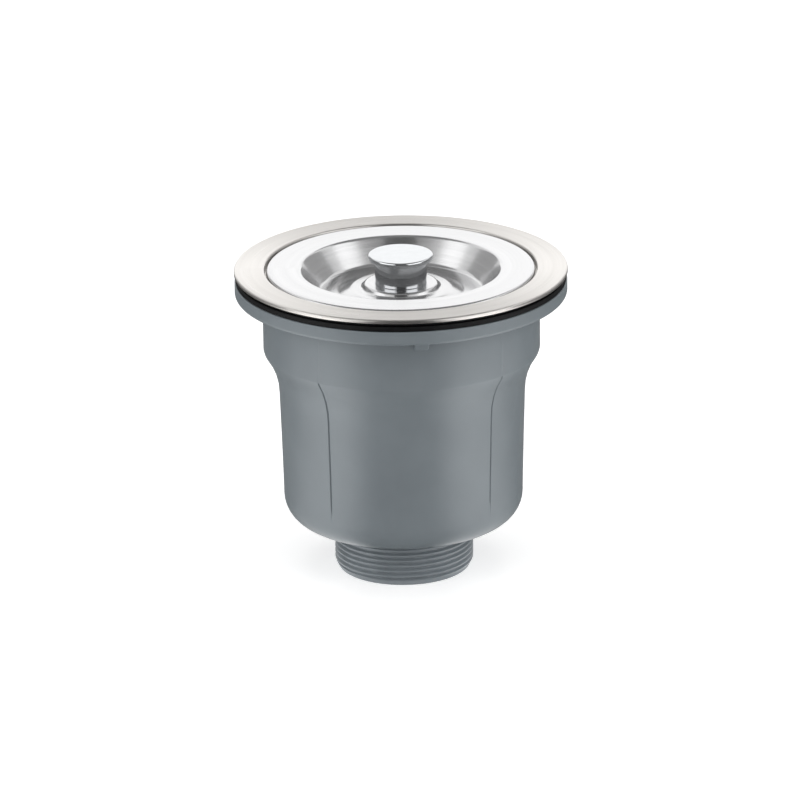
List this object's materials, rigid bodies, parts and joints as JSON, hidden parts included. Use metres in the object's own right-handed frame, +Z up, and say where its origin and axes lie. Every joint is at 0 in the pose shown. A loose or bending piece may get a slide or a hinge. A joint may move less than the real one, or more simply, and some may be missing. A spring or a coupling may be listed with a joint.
{
  "type": "kitchen sink basket strainer waste",
  "caption": "Sink waste with a steel flange, a pressed lid with a chrome knob, a strainer basket, rubber gaskets and a grey plastic bucket whose threaded outlet takes a trap",
  "frame": {"origin": "centre of the outlet's lower end, the lowest point of the waste", "axes": "+Z up along the waste's axis, towards the lid; the front of the picture is towards -Y and its right is +X"},
  "size_m": [0.14, 0.14, 0.1381],
  "materials": {
    "flange_steel": "circularly brushed, bright",
    "lid_steel": "satin, polished in the dish",
    "knob_chrome": "mirror polished",
    "basket_steel": "bright pressed",
    "gasket_rubber": "matte",
    "grey_plastic": "satin as moulded",
    "dark_plastic": "satin as moulded"
  },
  "bodies": {
    "root": {"sink_flange": "flange_steel", "threaded_sleeve": "dark_plastic", "upper_gasket": "gasket_rubber", "lower_gasket": "gasket_rubber", "drain_body": "grey_plastic", "lid_pan": "lid_steel", "lid_seal": "gasket_rubber", "lid_knob": "knob_chrome", "knob_seal": "gasket_rubber", "knob_washer": "basket_steel", "knob_screw": "knob_chrome", "basket_seal": "gasket_rubber", "basket": "basket_steel", "basket_ear_left": "basket_steel", "basket_ear_right": "basket_steel", "basket_bail": "basket_steel"}
  },
  "joints": []
}
